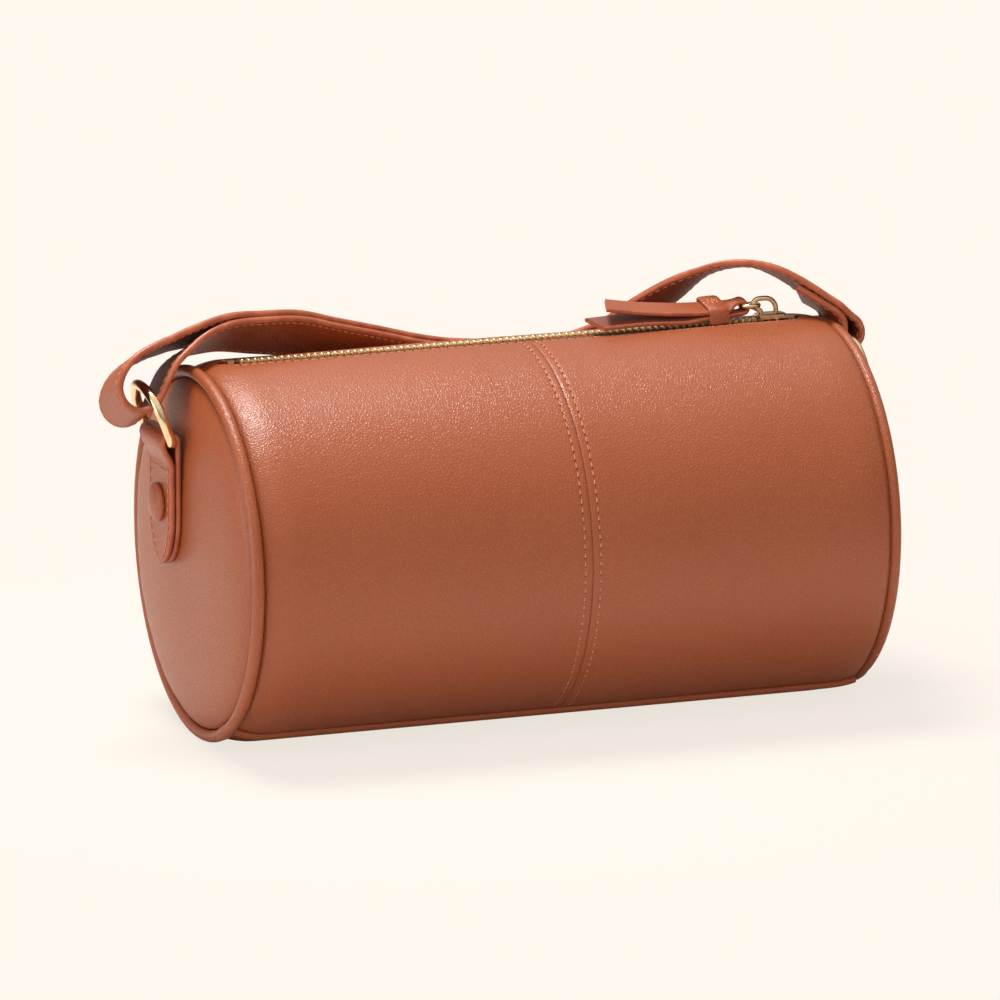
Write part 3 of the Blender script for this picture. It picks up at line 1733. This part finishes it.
@dataclass
class RingTab:
    """One end's leather tab, its covered stud and its metal ring."""

    form: BarrelForm
    finishes: Finishes
    repeats: Repeats
    end: End
    width: float = 24.5 * MM
    thickness: float = 2.0 * MM
    tab_x: float = 128.1 * MM
    leg_gap: float = 0.3 * MM
    length: float = 46 * MM
    pinch: float = 9 * MM
    tip_rise: float = 19 * MM
    ring_wire: float = 3.1 * MM
    ring_slack: float = 0.3 * MM
    shown_wire: float = 3.6 * MM
    ring_half_width: float = 14.35 * MM
    ring_height: float = 20.2 * MM
    stud_drop: float = 23.5 * MM
    stud_radius: float = 7 * MM
    stud_height: float = 3.4 * MM

    @property
    def outer_x(self) -> float:
        """The outside of the tab's front leg."""
        return self.tab_x + 2 * self.thickness + self.leg_gap

    def at(self, out: float, across: float, up: float) -> Vector:
        """A point at a distance out from the bag's middle, across the tab, and above the ring's pivot."""
        return Vector((self.end.value * out, self.form.ring_y + across, self.form.pivot_height + up))

    def hairpin(self) -> list[tuple[float, float]]:
        """The strip's middle line: from the inner tip up, over the ring and down the front leg.

        Returns:
            Points as distance from the bag's middle and height above the ring's pivot.
        """
        bar = self.form.ring_bar_x
        roll = self.ring_wire / 2 + self.ring_slack + self.thickness / 2
        inner = self.tab_x + self.thickness / 2
        outer = self.outer_x - self.thickness / 2
        turns = [math.pi * k / 14 for k in range(1, 15)]
        shares = [k / 12 for k in range(1, 13)]
        line = [(inner, -self.length + self.length * k / 24) for k in range(25)]
        line += [(bar - roll * math.cos(turn), roll * math.sin(turn)) for turn in turns]
        line += [(bar + roll + (outer - bar - roll) * ease(t), -self.pinch * t) for t in shares]
        line += [(outer, -self.pinch - (self.length - self.pinch) * k / 22) for k in range(1, 23)]
        return line

    def tongue_width(self, up: float) -> float:
        """The tab's width at a height above the ring's pivot; it narrows to a rounded tip."""
        gap = min(max((up + self.length) / self.tip_rise, 0.0), 1.0)
        return max(self.width * (1 - (1 - gap) ** 2.1) ** 0.62, 1.2 * MM)

    def tab(self) -> Strip:
        """The tab's strip of leather."""
        stations = [
            Station(self.at(out, 0, up), Vector((0, self.end.value, 0)), self.tongue_width(up))
            for out, up in self.hairpin()
        ]
        return Strip(f"ring_tab_{self.end.name.lower()}_leather", stations, self.thickness,
                     self.finishes.back_leather, self.finishes.strap_leather, self.finishes.edge)

    def tab_stitches(self) -> list[list[Vector]]:
        """The stitching round the tongue and the cross row below the roll."""
        face = self.outer_x + 0.06 * MM
        inset = 2.4 * MM
        low = -self.length + inset + 0.6 * MM
        top = -self.pinch - 1.5 * MM
        sides = []
        for side in (-1, 1):
            line = []
            for k in range(31):
                up = top + (low - top) * math.sin(math.pi / 2 * k / 30)
                half = max(self.tongue_width(up) / 2 - inset, 0.0)
                line.append(self.at(face, side * half, up))
            sides.append(line)
        cross = [self.at(face, -9.6 * MM + 19.2 * MM * k / 12, top) for k in range(13)]
        return [sides[0], sides[1], cross]

    def stud(self) -> bpy.types.Object:
        """Makes the leather-covered cap: a low dome over a slightly pinched foot.

        Returns:
            The piece.
        """
        foot = 0.1 * MM
        outline = [(foot, 0.93), (0.35 * MM, 0.98), (0.9 * MM, 1.0), (1.4 * MM, 0.985), (1.95 * MM, 0.93),
                   (2.5 * MM, 0.8), (2.95 * MM, 0.6), (3.25 * MM, 0.35), (self.stud_height, 0.12)]
        around = 56
        points = []
        for out, share in outline:
            for turn in full_turn(around):
                points.append(self.at(self.outer_x + out, self.stud_radius * share * math.sin(turn),
                                      -self.stud_drop + self.stud_radius * share * math.cos(turn)))
        faces = capped_faces(len(outline), around)
        return cleaned(new_object(f"stud_cap_{self.end.name.lower()}_leather", points, faces,
                                  [self.finishes.strap_leather]))

    def ring(self) -> bpy.types.Object:
        """Makes the ring: a tall loop with small corners in the tab and wide ones at the top.

        Returns:
            The piece.
        """
        lean = self.form.left_lean if self.end is End.LEFT else self.form.right_lean
        corners = []
        for across, up in ((-1, 0), (1, 0), (1, 1), (-1, 1)):
            rise = up * self.ring_height
            out = self.form.ring_bar_x + rise * math.sin(lean)
            corners.append(self.at(out, across * self.ring_half_width, rise * math.cos(lean)))
        path = rounded_path(corners, [3 * MM, 3 * MM, 13 * MM, 13 * MM], closed=True, step=14)
        return tube(f"ring_{self.end.name.lower()}_wire", path, self.shown_wire / 2, self.finishes.gold,
                    closed=True, sides=28)

    def build(self) -> None:
        """Makes the tab, stud and ring."""
        name = self.end.name.lower()
        tab = self.tab().build()
        stud = self.stud()
        sewn = self.repeats.stitches(f"ring_tab_{name}_stitches", self.tab_stitches(), self.finishes.thread,
                                     length=2.3 * MM, thread=0.5 * MM)
        settle(tab, "bag", f"ring_tab_{name}")
        settle(stud, "bag", f"stud_cap_{name}")
        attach(sewn, "bag")
        settle(self.ring(), f"{name}_ring", f"ring_{name}")
        log.info("made the %s tab and ring", name)


# ------------------------------------------------------------------ slider and pull


@dataclass
class SliderAndPull:
    """The zip's slider, its bail, the jump ring and the folded leather pull with its keeper."""

    form: BarrelForm
    finishes: Finishes
    repeats: Repeats
    slider_x: float = 99.2 * MM
    slider_length: float = 11 * MM
    slider_width: float = 9.4 * MM
    top: float = 69.4 * MM
    bail_foot: float = 95.7 * MM
    bail_left: float = 92.5 * MM
    bail_right: float = 101.5 * MM
    bail_wire: float = 1.8 * MM
    bail_height: float = 5.3 * MM
    jump_wire: float = 1.8 * MM
    jump_radius: float = 3.3 * MM
    jump_height: float = 72.5 * MM
    jump_left: float = 88.1 * MM
    pull_thickness: float = 1.6 * MM
    pull_width: float = 9.6 * MM
    neck_width: float = 4.4 * MM
    pull_skew: float = math.radians(5)
    pull_roll: float = math.radians(13)
    fold: float = 2.1 * MM
    tail_lower: float = 58 * MM
    tail_upper: float = 53 * MM
    keeper_start: float = 7.1 * MM
    keeper_length: float = 7.8 * MM
    keeper_thickness: float = 1.1 * MM
    keeper_low: float = -2.6 * MM
    keeper_high: float = 1.75 * MM

    def bail(self) -> bpy.types.Object:
        """Makes the bail's arch over the slider.

        Returns:
            The piece.
        """
        foot, left, right = self.bail_foot, self.bail_left, self.bail_right
        spots = [(foot, -0.3 * MM), (foot, 0.8 * MM), (left, self.bail_height / 2), (left, self.bail_height),
                 (right, self.bail_height), (right, -0.3 * MM)]
        corners = [self.form.zip_point(x, 0, self.top + h) for x, h in spots]
        path = rounded_path(corners, [0, 0.7 * MM, 1.2 * MM, 2.8 * MM, 4 * MM, 0])
        return tube("slider_bail_wire", path, self.bail_wire / 2, self.finishes.gold, sides=16)

    def jump_ring(self) -> bpy.types.Object:
        """Makes the small round ring between the bail and the pull.

        Returns:
            The piece.
        """
        centre = self.jump_left + self.jump_radius
        path = [
            self.form.zip_point(centre + self.jump_radius * math.cos(turn),
                                self.jump_radius * math.sin(turn), self.jump_height)
            for turn in full_turn(48)
        ]
        return tube("jump_ring_wire", path, self.jump_wire / 2, self.finishes.gold, closed=True, sides=20)

    def pull_at(self, along: float, across: float, up: float) -> Vector:
        """A point given from the jump ring's left side.

        Args:
            along: distance along the pull.
            across: distance across it.
            up: distance above it.

        Returns:
            The point.
        """
        origin = self.form.zip_point(self.jump_left, 0, self.jump_height)
        cosine, sine = math.cos(self.pull_skew), math.sin(self.pull_skew)
        flat = across * math.cos(self.pull_roll) - up * math.sin(self.pull_roll)
        high = up * math.cos(self.pull_roll) - across * math.sin(self.pull_roll)
        return origin + Vector((-cosine * along + sine * flat, -sine * along - cosine * flat, high))

    def pull(self) -> Strip:
        """The pull: one strip from the lower tail round the jump ring to the upper tail."""
        ground = self.form.axis_height + self.form.radius + 0.3 * MM + self.pull_thickness / 2
        low = ground + 1.9 * MM - self.form.zip_point(0, 0, self.jump_height).z
        f = self.fold
        points = [
            (self.tail_lower, 0, low, self.pull_width), (40 * MM, 0, low + 0.1 * MM, self.pull_width),
            (24 * MM, 0, -2.0 * MM, self.pull_width), (15.5 * MM, 0, -1.5 * MM, self.pull_width),
            (6.5 * MM, 0, -1.45 * MM, self.pull_width * 0.9), (2.5 * MM, 0, -2.2 * MM, self.neck_width),
            (0, 0, -f, self.neck_width), (-0.7 * f, 0, -0.7 * f, self.neck_width),
            (-f, 0, 0, self.neck_width),
            (-0.7 * f, 0, 0.7 * f, self.neck_width), (0, 0, f, self.neck_width),
            (2.5 * MM, 0, 1.6 * MM, self.neck_width), (6.5 * MM, 0, 0.4 * MM, self.pull_width * 0.9),
            (15.5 * MM, 0, 0.5 * MM, self.pull_width), (26 * MM, 0, 1.2 * MM, self.pull_width),
            (40 * MM, 0, 2.9 * MM, self.pull_width), (self.tail_upper, 0, 5.2 * MM, self.pull_width),
        ]
        line = SmoothLine(points).between(0, len(points) - 1, 0.9 * MM)
        across = self.pull_at(0, 1, 0) - self.pull_at(0, 0, 0)
        stations = [
            Station(self.pull_at(a, c, u), across, w, skew=1.8 * MM * ease((abs(a) - 30 * MM) / (20 * MM)))
            for a, c, u, w in line
        ]
        return Strip("zip_pull_leather", stations, self.pull_thickness, self.finishes.back_leather,
                     self.finishes.strap_leather, self.finishes.edge, stitch_inset=9 * MM)

    def keeper(self) -> bpy.types.Object:
        """Makes the band round the pull, a closed loop of thin leather.

        Returns:
            The piece.
        """
        thick, low, high = self.keeper_thickness, self.keeper_low, self.keeper_high
        half = self.pull_width / 2 + 0.15 * MM
        middle, rise = (high + low) / 2, (high - low) / 2
        sides = 40
        spans = [(0.0, 0.0), (0.0, thick * 0.7), (0.12, thick), (0.5, thick * 1.06), (0.88, thick),
                 (1.0, thick * 0.7), (1.0, 0.0)]
        points = []
        for share, out in spans:
            for turn in full_turn(sides):
                across = blunted(math.cos(turn), 0.35) * (half + out)
                up = middle + blunted(math.sin(turn), 0.35) * (rise + out)
                points.append(self.pull_at(self.keeper_start + share * self.keeper_length, across, up))
        faces = grid_faces(len(spans), sides, wrap_rows=True, wrap_columns=True)
        return cleaned(new_object("pull_keeper_leather", points, faces, [self.finishes.strap_leather]))

    def keeper_stitches(self) -> list[list[Vector]]:
        """The zigzag that closes the keeper."""
        start, length = self.keeper_start, self.keeper_length
        up = self.keeper_high + 1.2 * MM
        spots = [(0.2, -0.2), (0.32, 0.12), (0.44, -0.16), (0.56, 0.14), (0.68, -0.14), (0.8, 0.16)]
        points = [self.pull_at(start + a * length, b * self.pull_width, up) for a, b in spots]
        return [[a, b] for a, b in zip(points, points[1:])]

    def slider(self) -> bpy.types.Object:
        """Makes the slider: two shield-shaped plates joined by a post, with turned flanges.

        Returns:
            The piece.
        """
        half_gap, plate, chain = 1.6 * MM, 1.0 * MM, self.form.zip_reach
        shapes = []
        for sign in (-1, 1):
            points = []
            levels = [(half_gap, 1.0), (half_gap + plate * 0.6, 1.0), (half_gap + plate, 0.86)]
            count = 40
            for height, share in levels:
                for turn in full_turn(count):
                    x = self.slider_x + share * self.slider_length / 2 * blunted(math.cos(turn), 0.7)
                    waist = 0.86 + 0.14 * abs(math.cos(turn)) ** 1.5
                    across = share * self.slider_width / 2 * waist * blunted(math.sin(turn), 0.55)
                    points.append(self.form.zip_point(x, across, chain + sign * height))
            faces = grid_faces(len(levels), count, wrap_columns=True)
            faces += [tuple(range(count)), tuple(range((len(levels) - 1) * count, len(levels) * count))]
            shapes.append((points, faces))
        flange = []
        for side in (-1, 1):
            for sign in (-1, 1):
                points = []
                for x in (-0.46, -0.2, 0.2, 0.46):
                    for across, height in ((3.5, 1.7), (4.5, 1.7), (4.5, 0.75), (3.6, 0.75)):
                        points.append(self.form.zip_point(self.slider_x + x * self.slider_length,
                                                          side * across * MM, chain + sign * height * MM))
                faces = grid_faces(4, 4, wrap_columns=True) + [(0, 1, 2, 3), (12, 13, 14, 15)]
                flange.append((points, faces))
        post = [
            self.form.zip_point(x, across * 0.7 * MM, chain + height * 1.7 * MM)
            for x in (self.slider_x + 3.4 * MM, self.slider_x + 5.2 * MM)
            for across, height in ((-1, -1), (1, -1), (1, 1), (-1, 1))
        ]
        shapes += flange + [(post, grid_faces(2, 4, wrap_columns=True) + [(0, 1, 2, 3), (4, 5, 6, 7)])]
        points, faces = [], []
        for some, joined in shapes:
            faces += [tuple(i + len(points) for i in face) for face in joined]
            points += some
        return cleaned(new_object("slider_body_metal", points, faces, [self.finishes.gold]), 40)

    def build(self) -> None:
        """Makes the slider, the rings and the pull."""
        pull = self.pull().build()
        keeper = self.keeper()
        sewn = self.repeats.stitches("pull_keeper_stitches", self.keeper_stitches(), self.finishes.thread,
                                     pitch=1.4 * MM, length=1.3 * MM, thread=0.4 * MM)
        pieces = [
            (self.slider(), "zip_slider", "slider_body", "gold_metal"),
            (self.bail(), "zip_slider", "slider_bail", "gold_metal"),
            (self.jump_ring(), "pull_link", "jump_ring", "gold_metal"),
            (pull, "pull", "zip_pull", "leather"),
            (keeper, "pull", "pull_keeper", "leather"),
        ]
        for obj, body, node, slot in pieces:
            settle(obj, body, node)
        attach(sewn, "pull")
        log.info("made the slider and pull")


# ------------------------------------------------------------------ inner pieces


@dataclass
class InnerPieces:
    """The pieces inside the bag, which keep their built shape and get their finish."""

    finishes: Finishes

    def build(self, nodes: dict[str, bpy.types.Object]) -> None:
        """Gives every inner piece its material.

        Args:
            nodes: the built nodes by name.
        """
        kinds = {
            "barrel_lining": self.finishes.lining, "end_lining": self.finishes.lining,
            "barrel_stiffener": self.finishes.board, "end_board": self.finishes.board,
            "base_board": self.finishes.board, "end_padding": self.finishes.foam,
            "piping_cord": self.finishes.cord, "seam_tape": self.finishes.tape,
            "stud_post": self.finishes.gold, "stud_washer": self.finishes.gold,
            "zip_bottom_stop": self.finishes.brass, "zip_top_stop": self.finishes.brass,
        }
        for name, node in nodes.items():
            for start, material in kinds.items():
                if name.startswith(start):
                    node.data.materials.clear()
                    node.data.materials.append(material)
        log.info("dressed the inner pieces")


# ------------------------------------------------------------------ stage


@dataclass
class Studio:
    """The floor, the lights and the camera."""

    target_height: float = 66.8 * MM
    azimuth: float = math.radians(-20.1)
    elevation: float = math.radians(13.66)
    distance: float = 4.901
    pixels_per_metre: float = 2800.0
    centre: tuple[float, float] = (516.6, 526.0)
    picture: float = 1000.0
    backdrop: tuple = srgb(255, 248, 238)
    fill: float = 0.36
    low_glow: float = 0.26
    high_glow: float = 0.95
    floor_reach: float = 12.0
    floor_drop: float = 0.0002

    def camera(self) -> None:
        """The camera at the photograph's place."""
        data = bpy.data.cameras.new("camera")
        data.sensor_width = 36
        data.lens = 36 * self.pixels_per_metre * self.distance / self.picture
        data.shift_x = (0.5 * self.picture - self.centre[0]) / self.picture
        data.shift_y = (self.centre[1] - 0.5 * self.picture) / self.picture
        data.clip_end = 50
        camera = bpy.data.objects.new("camera", data)
        bpy.context.scene.collection.objects.link(camera)
        flat = math.cos(self.elevation)
        away = Vector((math.sin(self.azimuth) * flat, -math.cos(self.azimuth) * flat,
                       math.sin(self.elevation)))
        camera.location = Vector((0, 0, self.target_height)) + away * self.distance
        camera.rotation_euler = (-away).to_track_quat("-Z", "Y").to_euler()
        bpy.context.scene.camera = camera

    def lamp(
        self, name: str, at: tuple, size: float, power: float, colour: tuple = (1, 1, 1),
        mirrored: bool = True,
    ) -> None:
        """A square soft lamp that looks at the bag.

        Args:
            name: the lamp's name.
            at: its place.
            size: the length of its side.
            power: its power.
            colour: its colour.
            mirrored: whether it leaves a highlight.
        """
        data = bpy.data.lights.new(name, "AREA")
        data.size = size
        data.energy = power
        data.color = colour
        lamp = bpy.data.objects.new(name, data)
        lamp.location = at
        lamp.visible_glossy = mirrored
        aim = Vector((0, 0, self.target_height)) - Vector(at)
        lamp.rotation_euler = aim.to_track_quat("-Z", "Y").to_euler()
        bpy.context.scene.collection.objects.link(lamp)

    def world(self) -> None:
        """A pale room: full brightness to the camera and in reflections, dimmer as light."""
        world = bpy.data.worlds.new("room")
        bpy.context.scene.world = world
        sheet = Sheet("room", world)
        way = sheet.node("ShaderNodeTexCoord", output="Generated")
        high = sheet.node("ShaderNodeSeparateXYZ", inputs={"Vector": way}, output="Z")
        glossy = sheet.node("ShaderNodeLightPath", output="Is Glossy Ray")
        seen = sheet.node("ShaderNodeLightPath", output="Is Camera Ray")
        mirrored = high.stretched(0.0, 0.9, self.low_glow, self.high_glow)
        strength = glossy * (mirrored - self.fill) + self.fill
        glow = {"Color": (1.0, 0.95, 0.9, 1), "Strength": strength}
        light = sheet.node("ShaderNodeBackground", inputs=glow)
        backdrop = sheet.node("ShaderNodeBackground", inputs={"Color": self.backdrop, "Strength": 1.0})
        mix = sheet.node("ShaderNodeMixShader", inputs={0: seen, 1: light, 2: backdrop})
        sheet.shown(mix, "ShaderNodeOutputWorld")

    def floor(self) -> None:
        """A wide pale floor that keeps the bag's shadow close to it."""
        sheet = Sheet("pale_floor")
        path = sheet.node("ShaderNodeLightPath", output="Is Camera Ray")
        away = sheet.node("ShaderNodeVectorMath", {"operation": "LENGTH"}, {0: sheet.place()}, output="Value")
        glow = sheet.node("ShaderNodeEmission", inputs={"Color": self.backdrop, "Strength": 1.0})
        matte = sheet.node("ShaderNodeBsdfDiffuse", inputs={"Color": (0.72, 0.66, 0.60, 1)})
        share = away.stretched(0.14, 0.32, 0.8, 1.0) * path
        material = sheet.shown(sheet.node("ShaderNodeMixShader", inputs={0: share, 1: matte, 2: glow}))
        reach, low = self.floor_reach, -self.floor_drop
        corners = [Vector((x * reach, y * reach, low)) for x, y in ((-1, -1), (1, -1), (1, 1), (-1, 1))]
        floor = new_object("floor", corners, [(0, 1, 2, 3)], [material])

    def build(self) -> None:
        """Sets up the whole stage."""
        bpy.context.scene.view_settings.view_transform = "Standard"
        self.camera()
        self.world()
        self.floor()
        self.lamp("key", (-0.7, -1.1, 1.2), 1.1, 5, mirrored=False)
        self.lamp("front", (-0.1, -1.8, 0.3), 1.2, 9, mirrored=False)
        self.lamp("top", (-0.2, 0.25, 1.4), 0.5, 23)
        self.lamp("left", (-1.5, -0.1, 0.35), 0.8, 7, (1.0, 0.92, 0.9))
        log.info("set the stage")


def main() -> None:
    """Builds every piece of the bag and its stage."""
    logging.basicConfig(level=logging.INFO, format="%(message)s")
    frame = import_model()
    form = BarrelForm()
    finishes = Finishes()
    repeats = Repeats()
    Studio().build()
    Barrel(form, finishes, repeats).build()
    for end in End:
        EndWall(form, finishes, end).build()
        RingTab(form, finishes, repeats, end).build()
    Zip(form, finishes, repeats).build()
    SliderAndPull(form, finishes, repeats).build()
    Strap(form, finishes, repeats).build()
    InnerPieces(finishes).build(frame["nodes"])


if __name__ == "__main__":
    main()
